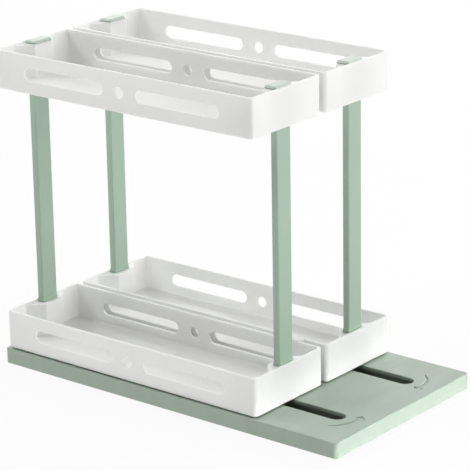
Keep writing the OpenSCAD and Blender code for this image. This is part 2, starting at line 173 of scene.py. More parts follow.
@dataclass(frozen=True)
class Outline:
    """A closed flat outline with rounded corners, listed counter-clockwise.

    An outline that is drawn inset keeps the centres of its arcs, so that several insets of it, one over the
    other, join into a smooth wall.
    """

    corners: tuple[tuple[float, float], ...]
    radii: tuple[float, ...]
    chords: int

    @classmethod
    def block(cls, width: float, length: float, radius: float, chords: int = Chords.FINER) -> "Outline":
        """Makes a centred rectangle with round corners."""
        x, y = width / 2, length / 2
        return cls(((-x, -y), (x, -y), (x, y), (-x, y)), (radius,) * 4, chords)

    @classmethod
    def disc(cls, diameter: float, chords: int = Chords.TURNED) -> "Outline":
        """Makes a centred circle."""
        return cls.block(diameter, diameter, diameter / 2, chords)

    def inset(self, distance: float) -> list[Vector]:
        """Draws the outline a distance inside itself.

        Args:
            distance: How far inside; a negative distance draws it outside.

        Returns:
            Its points, as many for each distance.
        """
        points: list[Vector] = []
        corners = [Vector(c) for c in self.corners]
        for index, corner in enumerate(corners):
            before = (corner - corners[index - 1]).normalized()
            after = (corners[(index + 1) % len(corners)] - corner).normalized()
            turn = math.atan2(before.cross(after), before.dot(after))
            hand = math.copysign(1, turn)
            radius = max(self.radii[index] - hand * distance, SHARPEST)
            inward_before, inward_after = before.orthogonal(), after.orthogonal()
            shift = (distance + hand * radius) / (1 + inward_before.dot(inward_after))
            centre = corner + (inward_before + inward_after) * shift
            arm = inward_before * (-hand * radius)
            for step in range(self.chords + 1):
                point = centre + Matrix.Rotation(turn * step / self.chords, 2) @ arm
                if not points or (point - points[-1]).length > TOUCH:
                    points.append(point)
        if (points[0] - points[-1]).length <= TOUCH:
            points.pop()
        return points


@dataclass(frozen=True)
class BentArrow:
    """The outline of an arrow that bends round a centre, with a tail that grows from almost nothing.

    Angles are in degrees, and a negative sweep turns clockwise.
    """

    radius: float
    start: float
    sweep: float
    band: float
    head_width: float
    head_length: float
    tail_share: float = 0.1
    steps: int = 20

    def inset(self, distance: float) -> list[Vector]:
        """Draws the outline a distance inside itself.

        Args:
            distance: How far inside; a negative distance draws it outside.

        Returns:
            Its points, as many for each distance.
        """
        hand, grown = math.copysign(1, self.sweep), -distance
        slope = math.atan2(self.head_width / 2, self.head_length)
        start = math.radians(self.start) - hand * grown / self.radius
        neck = math.radians(self.start + self.sweep) - hand * grown / self.radius
        tip = neck + hand * (self.head_length + grown + grown / math.sin(slope)) / self.radius
        barb = self.head_width / 2 + grown * (1 + math.sin(slope)) / math.cos(slope)
        shares = [step / self.steps for step in range(self.steps + 1)]
        spread = 1 - self.tail_share
        halves = [self.band * (self.tail_share + spread * share) / 2 + grown for share in shares]
        outer = [(start + (neck - start) * share, half) for share, half in zip(shares, halves)]
        inner = [(angle, -half) for angle, half in reversed(outer)]
        turns = [*outer, (neck, barb), (tip, 0.0), (neck, -barb), *inner]
        return [Vector((math.cos(a), math.sin(a))) * (self.radius + offset) for a, offset in turns]


def arc(
    centre: tuple[float, float], radius: float, start: float, end: float, chords: int = Chords.FEW
) -> Profile:
    """Draws a round stretch of a profile about an inset and a height, between two angles in degrees."""
    angles = [math.radians(start + (end - start) * i / chords) for i in range(chords + 1)]
    return [(centre[0] + radius * math.cos(a), centre[1] + radius * math.sin(a)) for a in angles]


class Skin:
    """A closed surface that is put together ring by ring, along Z."""

    def __init__(self) -> None:
        """Starts with nothing."""
        self.mesh = bmesh.new()

    def wall(self, outline: Outline | BentArrow, profile: Profile) -> tuple[Loop, Loop]:
        """Lofts an outline along a profile.

        Args:
            outline: The outline to follow.
            profile: The insets and heights that it passes through.

        Returns:
            The first and the last ring.
        """
        rings = [
            [self.mesh.verts.new((point.x, point.y, height)) for point in outline.inset(inset)]
            for inset, height in profile
        ]
        for ring, following in pairwise(rings):
            for index in range(len(ring)):
                self.mesh.faces.new((ring[index - 1], ring[index], following[index], following[index - 1]))
        return rings[0], rings[-1]

    def lid(self, ring: Loop) -> None:
        """Closes a ring with one flat face."""
        self.mesh.faces.new(ring)

    def land(self, outer: Loop, inner: Loop) -> None:
        """Fills the flat band between two rings.

        Args:
            outer: The ring round the band.
            inner: The ring inside it.
        """
        pairs = [(ring[index - 1], ring[index]) for ring in (outer, inner) for index in range(len(ring))]
        edges = [self.mesh.edges.get(pair) for pair in pairs]
        bmesh.ops.triangle_fill(self.mesh, use_beauty=True, edges=edges)

    def made(self, name: str, place: Matrix | None = None) -> Piece:
        """Turns the surface into an object.

        Args:
            name: The object's name.
            place: Where the surface goes, kept in its mesh.

        Returns:
            The object, at the origin.
        """
        if place is not None:
            self.mesh.transform(place)
        bmesh.ops.recalc_face_normals(self.mesh, faces=self.mesh.faces)
        mesh = bpy.data.meshes.new(name)
        self.mesh.to_mesh(mesh)
        self.mesh.free()
        return stood_up(name, mesh)


def stood_up(name: str, data: bpy.types.ID) -> Piece:
    """Makes an object and links it to the scene.

    Args:
        name: The object's name.
        data: Its mesh, lamp or camera.

    Returns:
        The object.
    """
    piece = bpy.data.objects.new(name, data)
    bpy.context.scene.collection.objects.link(piece)
    return piece


def loft(
    name: str, outline: Outline | BentArrow, profile: Profile, place: Vector | Matrix | None = None
) -> Piece:
    """Makes a closed piece that follows an outline along a profile.

    Args:
        name: Its name.
        outline: The outline.
        profile: The insets and heights that the outline passes through.
        place: A matrix that moves it, or a point that it stands over, of which only X and Y count.

    Returns:
        The piece.
    """
    skin = Skin()
    for ring in skin.wall(outline, profile):
        skin.lid(ring)
    if isinstance(place, Vector):
        place = Matrix.Translation((place.x, place.y, 0.0))
    return skin.made(name, place)


def rod(diameter: float, low: float, high: float, at: Vector) -> Piece:
    """Makes an upright rod between two heights, over a point."""
    return loft("rod", Outline.disc(diameter), [(0.0, low), (0.0, high)], at)


def slab(width: float, length: float, low: float, high: float, at: Vector) -> Piece:
    """Makes an upright block between two heights, over a point."""
    return loft("slab", Outline.block(width, length, SHARPEST, Chords.SQUARE), [(0.0, low), (0.0, high)], at)


def settle(piece: Piece) -> None:
    """Turns what a piece's modifiers make into its plain mesh.

    Args:
        piece: The piece, which keeps no modifier.
    """
    graph = bpy.context.evaluated_depsgraph_get()
    made = piece.evaluated_get(graph)
    mesh = bpy.data.meshes.new_from_object(made, preserve_all_data_layers=True, depsgraph=graph)
    old = piece.data
    piece.modifiers.clear()
    piece.data = mesh
    bpy.data.meshes.remove(old)


def join(piece: Piece, tools: Iterable[Piece], how: Join) -> None:
    """Adds closed shapes to a piece or cuts them out of it.

    Args:
        piece: The piece.
        tools: The shapes, which are used up.
        how: Whether they are added or cut.
    """
    for tool in tools:
        modifier = piece.modifiers.new(tool.name, "BOOLEAN")
        modifier.operation = how.value
        modifier.solver = "EXACT"
        modifier.object = tool
        settle(piece)
        bpy.data.objects.remove(tool)


def merge(piece: Piece, other: Piece) -> None:
    """Puts another object's mesh into a piece, as it is.

    Args:
        piece: The piece.
        other: The other object, which is used up.
    """
    both = bmesh.new()
    both.from_mesh(piece.data)
    both.from_mesh(other.data)
    bmesh.ops.recalc_face_normals(both, faces=both.faces)
    both.to_mesh(piece.data)
    both.free()
    bpy.data.objects.remove(other)


def soften(piece: Piece, height: float, offset: float, wanted: Callable[[Vector], bool]) -> None:
    """Rounds the crisp outward edges that lie at one height.

    Args:
        piece: The piece.
        height: The edges' height.
        offset: How far the rounding reaches.
        wanted: Whether an edge with its middle at a place is rounded.
    """
    mesh = bmesh.new()
    mesh.from_mesh(piece.data)
    edges = [
        edge
        for edge in mesh.edges
        if all(abs(corner.co.z - height) < TOUCH for corner in edge.verts)
        and len(edge.link_faces) == 2
        and edge.calc_face_angle_signed() > math.radians(RIDGE)
        and wanted((edge.verts[0].co + edge.verts[1].co) / 2)
    ]
    bmesh.ops.bevel(mesh, geom=edges, offset=offset, segments=SOFT_FACES, profile=0.5, affect="EDGES")
    mesh.to_mesh(piece.data)
    mesh.free()


def shade(piece: Piece) -> None:
    """Shades a piece's round stretches smoothly and keeps its flat faces flat.

    Args:
        piece: The piece.
    """
    piece.data.shade_smooth()
    piece.data.set_sharp_from_angle(angle=math.radians(CRISP))
    piece.modifiers.new("flat faces", "WEIGHTED_NORMAL").keep_sharp = True
    settle(piece)


# Nodes


def feed(tree: Tree, node: Node, inputs: Mapping[str | int, object]) -> None:
    """Sets a node's inputs.

    Args:
        tree: The node's tree.
        node: The node.
        inputs: Its sockets, each with a value, a socket to link, or a node whose first output is linked.
    """
    for key, given in inputs.items():
        value = given.outputs[0] if isinstance(given, Node) else given
        if isinstance(value, Socket):
            tree.links.new(value, node.inputs[key])
        else:
            node.inputs[key].default_value = value


def add_node(
    tree: Tree, kind: str, inputs: Mapping[str | int, object] | None = None, **settings: object
) -> Node:
    """Adds a node to a tree.

    Args:
        tree: The tree.
        kind: The node's type.
        inputs: Its inputs, as feed takes them.
        **settings: Its properties.

    Returns:
        The node.
    """
    node = tree.nodes.new(kind)
    for name, value in settings.items():
        setattr(node, name, value)
    feed(tree, node, inputs or {})
    return node


# Finishes


def linear(hex_colour: str) -> tuple[float, float, float, float]:
    """Turns an sRGB hex colour into the linear values that nodes take.

    Args:
        hex_colour: Six hex digits after a hash sign.

    Returns:
        Red, green, blue and an alpha of one.
    """
    shares = [int(hex_colour[i : i + 2], 16) / 255 for i in (1, 3, 5)]
    channels = [s / 12.92 if s <= 0.04045 else ((s + 0.055) / 1.055) ** 2.4 for s in shares]
    return (*channels, 1.0)


@dataclass(frozen=True)
class Finish:
    """What a piece is made of, with two shades of its colour that a pattern mixes."""

    name: str
    colour: str
    second_colour: str
    roughness: float

    def patterns(self, add: Adder, place: Socket) -> tuple[Node, dict[str, object]]:
        """Draws the patterns of the finish.

        Args:
            add: Adds a node to the material's tree.
            place: The place on the piece.

        Returns:
            The pattern that mixes the two shades, and the shader's inputs other than its colour.
        """
        raise NotImplementedError

    def material(self) -> bpy.types.Material:
        """Builds the material when it is first asked for.

        Returns:
            The material.
        """
        material = bpy.data.materials.get(self.name)
        if material is None:
            material = bpy.data.materials.new(self.name)
            material.use_nodes = True
            tree = material.node_tree
            add = partial(add_node, tree)
            pattern, inputs = self.patterns(add, add("ShaderNodeTexCoord").outputs["Object"])
            shades = {0: pattern, 6: linear(self.colour), 7: linear(self.second_colour)}
            mixed = add("ShaderNodeMix", shades, data_type="RGBA")
            feed(tree, tree.nodes["Principled BSDF"], {"Base Color": mixed.outputs[2], **inputs})
        return material


@dataclass(frozen=True)
class MouldedPlastic(Finish):
    """An injection-moulded plastic.

    The eye sees an even satin skin from the eroded mould, a slow unevenness of gloss where the melt cooled,
    and hardly any change of colour. The grain of the real skins is about 0.2 mm wide, too fine to show, so it
    is drawn coarser.
    """

    gloss_drift: float
    grain: float
    grain_depth: float
    drift: float  # how long the unevenness of gloss and colour is
    ior: float = 1.54
    stretch: float = 1.0  # how many times longer the flow is along Y than across it
    glow: float = 0.0
    glow_depth: float = 3.0 * MM

    def patterns(self, add: Adder, place: Socket) -> tuple[Node, dict[str, object]]:
        """Draws where the melt cooled, and the grain.

        Args:
            add: Adds a node to the material's tree.
            place: The place on the piece.

        Returns:
            The cooling, and the shader's inputs.
        """
        along = add("ShaderNodeMapping", {"Vector": place, "Scale": (1.0, 1.0 / self.stretch, 1.0)})
        flow = {"Vector": along, "Scale": 1.0 / self.drift, "Detail": 3.0, "Roughness": 0.55}
        cooled = add("ShaderNodeTexNoise", flow)
        band = {"Value": cooled, "From Min": NOISE_LOW, "From Max": NOISE_HIGH}
        low, high = self.roughness - self.gloss_drift, self.roughness + self.gloss_drift
        gloss = add("ShaderNodeMapRange", {**band, "To Min": low, "To Max": high})
        grain = add("ShaderNodeTexNoise", {"Vector": place, "Scale": 1.0 / self.grain, "Detail": 2.0})
        bump = add("ShaderNodeBump", {"Strength": 1.0, "Distance": self.grain_depth, "Height": grain})
        return cooled, {
            "Roughness": gloss,
            "Normal": bump,
            "IOR": self.ior,
            "Subsurface Weight": self.glow,
            "Subsurface Radius": (1.0, 1.0, 1.0),
            "Subsurface Scale": self.glow_depth,
        }


@dataclass(frozen=True)
class ZincPlate(Finish):
    """Zinc-plated steel, barrel-plated: a bright grey metal with a slightly clouded gloss."""

    clouding: float
    gloss_drift: float

    def patterns(self, add: Adder, place: Socket) -> tuple[Node, dict[str, object]]:
        """Draws the clouds.

        Args:
            add: Adds a node to the material's tree.
            place: The place on the piece.

        Returns:
            The clouds, and the shader's inputs.
        """
        clouds = add("ShaderNodeTexNoise", {"Vector": place, "Scale": 1.0 / self.clouding, "Detail": 4.0})
        low, high = self.roughness * (1 - self.gloss_drift), self.roughness * (1 + self.gloss_drift)
        gloss = add("ShaderNodeMapRange", {"Value": clouds, "To Min": low, "To Max": high})
        return clouds, {"Roughness": gloss, "Metallic": 1.0}


@dataclass(frozen=True)
class MattRubber(Finish):
    """Moulded thermoplastic rubber: a dull dark skin, faintly dusted by talc."""

    dusting: float
    dust_depth: float

    def patterns(self, add: Adder, place: Socket) -> tuple[Node, dict[str, object]]:
        """Draws the dust.

        Args:
            add: Adds a node to the material's tree.
            place: The place on the piece.

        Returns:
            The dust, and the shader's inputs.
        """
        dust = add("ShaderNodeTexNoise", {"Vector": place, "Scale": 1.0 / self.dusting, "Detail": 5.0})
        bump = add("ShaderNodeBump", {"Strength": 1.0, "Distance": self.dust_depth, "Height": dust})
        return dust, {"Roughness": self.roughness, "Normal": bump}


# Satin white polypropylene: bright, a little waxy, with light that soaks into the thin walls
WHITE = MouldedPlastic(
    "white polypropylene", "#F2F2F1", "#EFEFEE", roughness=0.42, gloss_drift=0.04, ior=1.49,
    grain=1.2 * MM, grain_depth=0.006 * MM, drift=60 * MM, glow=1.0,
)

# The base's sage green ABS: the posts' batch, greyer under its coarser skin, with flow lines across the plate
BASE_SAGE = MouldedPlastic(
    "sage green ABS with flow lines", "#ADBCAE", "#A5B4A6", roughness=0.38, gloss_drift=0.06,
    grain=1.0 * MM, grain_depth=0.008 * MM, drift=60 * MM, stretch=0.15,
)

# The posts' sage green ABS: a denser, drier gloss than the trays, its flow drawn out from front to back
SAGE = MouldedPlastic(
    "sage green ABS", "#AAC2AF", "#A6BEAB", roughness=0.36, gloss_drift=0.05,
    grain=1.0 * MM, grain_depth=0.008 * MM, drift=30 * MM, stretch=4.0,
)

# The caps' ABS: small mouldings, paler than the posts' sage, smoother, without flow lines
PALE_SAGE = MouldedPlastic(
    "pale sage green ABS", "#BFCCC1", "#BAC8BD", roughness=0.30, gloss_drift=0.04,
    grain=0.8 * MM, grain_depth=0.005 * MM, drift=12 * MM,
)

# Black ABS for the bottom cover, with a coarse mould texture. Its black, seen through the slots, also stands
# in for the deep shadow inside them: painted shade.
SLOT_SHADE_BLACK = MouldedPlastic(
    "black ABS", "#1B1C1C", "#202121", roughness=0.55, gloss_drift=0.05,
    grain=0.8 * MM, grain_depth=0.03 * MM, drift=40 * MM,
)

# Natural acetal for what slides: slightly warm, waxy and smoother than the trays
ACETAL = MouldedPlastic(
    "natural acetal", "#E9E5DA", "#E2DED2", roughness=0.3, gloss_drift=0.04, ior=1.48,
    grain=0.8 * MM, grain_depth=0.004 * MM, drift=12 * MM,
)

# Bright zinc on steel screws, studs and washers
ZINC = ZincPlate(
    "zinc-plated steel", "#C9CBCD", "#B4B7BA", roughness=0.32, clouding=1.5 * MM, gloss_drift=0.3
)

# Dark grey rubber for the pads under the base
RUBBER = MattRubber(
    "anti-slip rubber", "#2A2B2B", "#3B3C3C", roughness=0.85, dusting=1.0 * MM, dust_depth=0.05 * MM
)


def hand_over(piece: Piece, finish: Finish, body: str, node: str) -> None:
    """Dresses and shades a finished piece, hangs it on its body's empty and hides the CAD node that it stands
    for.

    Args:
        piece: The piece.
        finish: What it is made of.
        body: The CAD body that it moves with.
        node: The CAD node that it stands for.
    """
    piece.data.materials.clear()
    piece.data.materials.append(finish.material())
    piece.data.polygons.foreach_set("material_index", [0] * len(piece.data.polygons))
    shade(piece)
    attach(piece, body)
    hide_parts(node)
    LOG.info("%s: %d faces, %s, rides on %s", piece.name, len(piece.data.polygons), finish.name, body)


def dress(node: str, finish: Finish) -> None:
    """Gives a CAD node that stays its real finish.

    Args:
        node: The node's name.
        finish: What it is made of.
    """
    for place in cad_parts[node].material_slots:
        place.material = finish.material()
    LOG.info("%s: stays, %s", node, finish.name)


# What is repeated or wound


class Recipe:
    """A Geometry Nodes tree with named inputs, and the objects that it bakes."""

    def __init__(self, name: str, inputs: Mapping[str, str]) -> None:
        """Starts a tree.

        Args:
            name: The tree's name.
            inputs: The name and the kind of each input, to which the finish is added.
        """
        self.tree = bpy.data.node_groups.new(name, "GeometryNodeTree")
        face = self.tree.interface
        self.sockets = {
            label: face.new_socket(label, in_out="INPUT", socket_type=f"NodeSocket{kind}").identifier
            for label, kind in {**inputs, "Finish": "Material"}.items()
        }
        face.new_socket("Geometry", in_out="OUTPUT", socket_type="NodeSocketGeometry")
        self.given = self.tree.nodes.new("NodeGroupInput").outputs

    def end(self, geometry: Node) -> None:
        """Ends the tree in real, dressed geometry.

        Args:
            geometry: The node that gives what the tree has made.
        """
        real = add_node(self.tree, "GeometryNodeRealizeInstances", {"Geometry": geometry})
        dressing = {"Geometry": real, "Material": self.given["Finish"]}
        add_node(self.tree, "NodeGroupOutput", {0: add_node(self.tree, "GeometryNodeSetMaterial", dressing)})

    def bake(self, name: str, finish: Finish | None, values: Mapping[str, object]) -> Piece:
        """Runs the tree once and keeps its result as a plain mesh.

        Args:
            name: The object's name.
            finish: What the object is made of, or None for a tool.
            values: A value for each other input.

        Returns:
            The object, with no modifier.
        """
        piece = stood_up(name, bpy.data.meshes.new(name))
        modifier = piece.modifiers.new(name, "NODES")
        modifier.node_group = self.tree
        for label, value in {**values, "Finish": finish and finish.material()}.items():
            modifier[self.sockets[label]] = value
        settle(piece)
        return piece


def setting_out_recipe() -> Recipe:
    """Builds the tree that sets copies of one piece out on a flat grid.

    Returns:
        The recipe.
    """
    counts = {"Columns": "Int", "Rows": "Int", "Column pitch": "Float", "Row pitch": "Float"}
    inputs = {"Piece": "Object", **counts, "Centre": "Vector", "Leave out the middle": "Bool"}
    recipe = Recipe("setting out", inputs)
    given, add = recipe.given, partial(add_node, recipe.tree)
    lines = []
    for count, pitch, axis in (("Columns", "Column pitch", "X"), ("Rows", "Row pitch", "Y")):
        gaps = add("ShaderNodeMath", {0: given[count], 1: 1.0}, operation="SUBTRACT")
        span = add("ShaderNodeMath", {0: gaps, 1: given[pitch]}, operation="MULTIPLY")
        start = add("ShaderNodeMath", {0: span, 1: -0.5}, operation="MULTIPLY")
        first = add("ShaderNodeCombineXYZ", {axis: start})
        step = add("ShaderNodeCombineXYZ", {axis: given[pitch]})
        row = {"Count": given[count], "Start Location": first, "Offset": step}
        lines.append(add("GeometryNodeMeshLine", row))
    grid = add("GeometryNodeInstanceOnPoints", {"Points": lines[0], "Instance": lines[1]})
    points = add("GeometryNodeRealizeInstances", {"Geometry": grid})
    reach = add("ShaderNodeVectorMath", {0: add("GeometryNodeInputPosition")}, operation="LENGTH")
    middle = add("FunctionNodeCompare", {0: reach.outputs["Value"], 1: MIDDLE}, operation="LESS_THAN")
    dropped = add("FunctionNodeBooleanMath", {0: middle, 1: given["Leave out the middle"]}, operation="AND")
    kept = add("FunctionNodeBooleanMath", {0: dropped}, operation="NOT")
    piece = add("GeometryNodeObjectInfo", {"Object": given["Piece"]}).outputs["Geometry"]
    copies = add("GeometryNodeInstanceOnPoints", {"Points": points, "Selection": kept, "Instance": piece})
    recipe.end(add("GeometryNodeTransform", {"Geometry": copies, "Translation": given["Centre"]}))
    return recipe


def thread_recipe() -> Recipe:
    """Builds the tree that winds a screw's thread.

    Returns:
        The recipe.
    """
    lengths = ("Core radius", "Crest radius", "Pitch", "Length", "Top")
    recipe = Recipe("screw thread", {**dict.fromkeys(lengths, "Float"), "Points a turn": "Int"})
    given, add = recipe.given, partial(add_node, recipe.tree)
    core, length = given["Core radius"], given["Length"]
    turns = add("ShaderNodeMath", {0: length, 1: given["Pitch"]}, operation="DIVIDE")
    drop = add("ShaderNodeMath", {0: length, 1: -1.0}, operation="MULTIPLY")
    coil = {"Resolution": given["Points a turn"], "Rotations": turns, "Height": drop}
    path = add("GeometryNodeCurveSpiral", {**coil, "Start Radius": core, "End Radius": core})
    depth = add("ShaderNodeMath", {0: given["Crest radius"], 1: core}, operation="SUBTRACT")
    section = {"Resolution": THREAD_SIDES, "Radius": depth}
    crest = add("GeometryNodeCurvePrimitiveCircle", section, mode="RADIUS")
    wound = add("GeometryNodeCurveToMesh", {"Curve": path, "Profile Curve": crest, "Fill Caps": True})
    top = add("ShaderNodeCombineXYZ", {"Z": given["Top"]})
    recipe.end(add("GeometryNodeTransform", {"Geometry": wound, "Translation": top}))
    return recipe


@dataclass(frozen=True)
class Grid:
    """Places in rows and columns, centred on one point."""

    columns: int
    rows: int
    column_pitch: float
    row_pitch: float
    centre: Vector
    hollow: bool = False

    @classmethod
    def filling(
        cls, columns: int, rows: int, space: Vector, piece: float, centre: Vector, hollow: bool = False
    ) -> "Grid":
        """Spreads round pieces over a space, the outer ones touching its sides."""
        column_pitch, row_pitch = (space.x - piece) / (columns - 1), (space.y - piece) / (rows - 1)
        return cls(columns, rows, column_pitch, row_pitch, centre, hollow)


class Workshop:
    """The recipes, each built once, and what they make."""

    def __init__(self) -> None:
        """Builds the recipes."""
        self.setting_out, self.thread = setting_out_recipe(), thread_recipe()

    def set_out(
        self, name: str, piece: Piece, grid: Grid, finish: Finish | None = None
    ) -> Piece:
        """Sets copies of a piece out on a grid, as one mesh.

        Args:
            name: The new object's name.
            piece: The piece to repeat, which is used up.
            grid: The places.
            finish: What the copies are made of, or None for a tool.

        Returns:
            The object that holds the copies.
        """
        values = {
            "Piece": piece,
            "Columns": grid.columns,
            "Rows": grid.rows,
            "Column pitch": grid.column_pitch,
            "Row pitch": grid.row_pitch,
            "Centre": list(grid.centre),
            "Leave out the middle": grid.hollow,
        }
        copies = self.setting_out.bake(name, finish, values)
        bpy.data.objects.remove(piece)
        return copies


@dataclass(frozen=True)
class Screw:
    """A cross-recessed screw, made with the seat of its head on z = 0 and its shank below.

    A pan head stands on its seat, and the face of a countersunk head lies level with it. Shares are parts of
    the head's own width and height, or of the shank's diameter.
    """

    head: Head
    head_width: float
    head_height: float
    shank: float
    length: float
    pitch: float
    crest_share: float = 0.14
    tip_share: float = 0.35
    flat_share: float = 0.22
    dome_share: float = 0.62
    edge: float = 0.08 * MM
    recess_share: float = 0.56
    recess_width: float = 0.7 * MM
    recess_depth: float = 0.9 * MM
    recess_round: float = 0.14 * MM
    recess_taper: float = 0.175 * MM
    dome_steps: int = 6
    thread_points: int = 16

    @property
    def core(self) -> float:
        """The shank's diameter between the turns of the thread."""
        return self.shank * (1 - 2 * self.crest_share)

    @property
    def top(self) -> float:
        """The height of the head's face."""
        return self.head_height if self.head is Head.PAN else 0.0

    @property
    def collar(self) -> float:
        """The height at which the shank begins."""
        return self.top - self.head_height

    @property
    def tip(self) -> float:
        """The length of the cone at the end."""
        return self.tip_share * self.shank

    def side(self) -> Profile:
        """Draws the screw's outline.

        Returns:
            Insets and heights, from the point up to the face.
        """
        neck = (self.head_width - self.core) / 2
        if self.head is Head.PAN:
            flat, dome = self.flat_share * self.head_width, self.dome_share * self.head_height
            turns = [math.pi / 2 * step / self.dome_steps for step in range(self.dome_steps + 1)]
            crown = [(flat * (1 - math.sin(turn)), self.top - dome * (1 - math.cos(turn))) for turn in turns]
            head = [*crown, (0.0, self.edge), (self.edge, 0.0), (neck, 0.0)]
        else:
            head = [(self.edge, 0.0), (0.0, -self.edge), (neck, self.collar)]
        shank = [(neck, self.tip - self.length), (neck + self.core * self.tip_share, -self.length)]
        return [*head, *shank][::-1]

    def made(self, name: str, shop: Workshop, place: Matrix) -> Piece:
        """Makes the screw.

        Args:
            name: Its name.
            shop: The workshop that winds its thread.
            place: Where it goes.

        Returns:
            The screw.
        """
        screw = loft(name, Outline.disc(self.head_width), self.side())
        length = self.recess_share * self.head_width
        blade = Outline.block(length, self.recess_width, self.recess_round, Chords.SCANT)
        recess = [(self.recess_taper, self.top - self.recess_depth), (0.0, self.top + OVER)]
        turns = [Matrix.Rotation(math.radians(turn), 4, "Z") for turn in (0, 90)]
        join(screw, [loft("recess", blade, recess, turn) for turn in turns], Join.CUT)
        values = {
            "Core radius": self.core / 2,
            "Crest radius": self.shank / 2,
            "Pitch": self.pitch,
            "Length": self.length - self.tip + self.collar,
            "Top": self.collar - self.pitch / 2,
            "Points a turn": self.thread_points,
        }
        merge(screw, shop.thread.bake("thread", ZINC, values))
        screw.data.transform(place)
        return screw


# The base


@dataclass(frozen=True)
class Base:
    """The flat base: a sage shell with two slots, its black bottom cover, the screws and the pads."""

    shop: Workshop
    corner_radius: float = 3.0 * MM
    deck_round: float = 0.8 * MM
    skirt_round: float = 0.3 * MM
    deck: float = 2.5 * MM
    skirt: float = 2.5 * MM
    inner_radius: float = 1.5 * MM
    rib: float = 2.0 * MM
    cross_ribs: int = 5
    guide: float = 22.4 * MM
    slot_width: float = 12.0 * MM
    slot_front: float = 22.0 * MM
    slot_lip: float = 0.6 * MM
    stop_room: float = 0.3 * MM
    screw_rows: int = 3
    screw_boss: float = 7.0 * MM
    screw_head: float = 5.4 * MM
    screw_head_height: float = 1.5 * MM
    screw_shank: float = 2.6 * MM
    screw_pitch: float = 0.9 * MM
    pilot: float = 2.7 * MM
    pilot_depth: float = 3.8 * MM
    arrow_radius: float = 23.6 * MM
    arrow_band: float = 3.5 * MM
    arrow_head_width: float = 8.4 * MM
    arrow_head_length: float = 4.6 * MM
    arrow_depth: float = 0.8 * MM
    arrow_start: float = 215.0
    arrow_neck: float = 277.0
    arrow_inward: float = 2.4 * MM
    arrow_back: float = 8.5 * MM
    arrow_lip: float = 0.6 * MM
    pad_columns: int = 3
    pad_rows: int = 2
    pad: float = 14.0 * MM
    pad_edge: float = 0.3 * MM
    pad_back: float = 0.1 * MM
    pad_groove: float = 0.25 * MM
    pad_rings: int = 4

    @property
    def space(self) -> Box:
        """The shell's own space."""
        return Box.of("base_shell")

    @property
    def cover_top(self) -> float:
        """The height of the bottom cover's upper face."""
        return Box.of("base_cover").high.z

    @property
    def deck_under(self) -> float:
        """The height of the deck's lower face."""
        return self.space.high.z - self.deck

    def lane(self, side: Side) -> Vector:
        """The middle of the way that a rack's shoe slides along."""
        return Vector((side.box("pivot_stud").centre.x, 0.0, 0.0))

    def slot_ends(self, side: Side) -> tuple[Vector, Vector]:
        """Finds the centres of a slot's round ends.

        Args:
            side: The rack that runs in the slot.

        Returns:
            The front and the rear centre, at the height of the deck.
        """
        stud, top = side.box("pivot_stud").centre, self.space.high.z
        front = self.space.low.y + self.slot_front + self.slot_width / 2
        return Vector((stud.x, front, top)), Vector((stud.x, stud.y + self.stop_room, top))

    def build(self) -> None:
        """Builds and dresses the base."""
        self.build_shell()
        self.build_screws()
        self.build_pads()
        # The cover's black, seen through the slots, is painted shade inside them
        dress("base_cover", SLOT_SHADE_BLACK)

    def build_shell(self) -> None:
        """Builds the shell with its ribs, slots and arrows."""
        size, low, top = self.space.size, self.space.low.z, self.space.high.z
        outer = Outline.block(size.x, size.y, self.corner_radius, Chords.TURNED)
        inner = Outline.block(size.x - 2 * self.skirt, size.y - 2 * self.skirt, self.inner_radius)
        under, over = self.skirt_round, self.deck_round
        side = [
            *arc((under, low + under), under, 270, 180, Chords.SCANT),
            *arc((over, top - over), over, 180, 90, Chords.FINE),
        ]
        skin = Skin()
        foot, crown = skin.wall(outer, side)
        lip, roof = skin.wall(inner, [(0.0, low), (0.0, self.deck_under)])
        skin.land(foot, lip)
        skin.lid(crown)
        skin.lid(roof)
        shell = skin.made("base_top")
        join(shell, self.ribs(), Join.ADD)
        cuts = [*map(self.channel, Side), self.pilots(), *map(self.slot, Side), *map(self.arrow, Side)]
        join(shell, cuts, Join.CUT)
        hand_over(shell, BASE_SAGE, "base", "base_shell")

    def ribs(self) -> list[Piece]:
        """Makes the ribs and screw bosses under the deck, still crossing the channels.

        Returns:
            The tools.
        """
        low, high = self.cover_top, self.deck_under + self.deck / 2
        inside = self.space.size - Vector((self.skirt, self.skirt, 0.0))
        across = slab(inside.x, self.rib, low, high, ORIGIN)
        rows = Grid(1, self.cross_ribs, 0.0, inside.y / (self.cross_ribs + 1), ORIGIN)
        tools = [self.shop.set_out("cross ribs", across, rows)]
        for side in Side:
            pair = Grid(2, 1, self.guide + self.rib, 0.0, self.lane(side))
            tools.append(self.shop.set_out("guide ribs", slab(self.rib, inside.y, low, high, ORIGIN), pair))
        boss = rod(self.screw_boss, low, high, ORIGIN)
        return [*tools, self.shop.set_out("screw bosses", boss, self.screw_grid(0.0))]

    def screw_grid(self, height: float) -> Grid:
        """The places of the cover's screws, without the middle one."""
        space, rows, centre = Box.of("cover_screws").size, self.screw_rows, Vector((0.0, 0.0, height))
        return Grid.filling(rows, rows, space, self.screw_head, centre, hollow=True)

    def channel(self, side: Side) -> Piece:
        """The tool that cuts a shoe's way through the cross ribs."""
        length = self.space.size.y - 2 * self.skirt
        return slab(self.guide, length, self.cover_top - OVER, self.deck_under, self.lane(side))

    def pilots(self) -> Piece:
        """The tool for the holes that the cover's screws bite into."""
        hole = rod(self.pilot, self.cover_top - OVER, self.cover_top + self.pilot_depth, ORIGIN)
        return self.shop.set_out("pilots", hole, self.screw_grid(0.0))

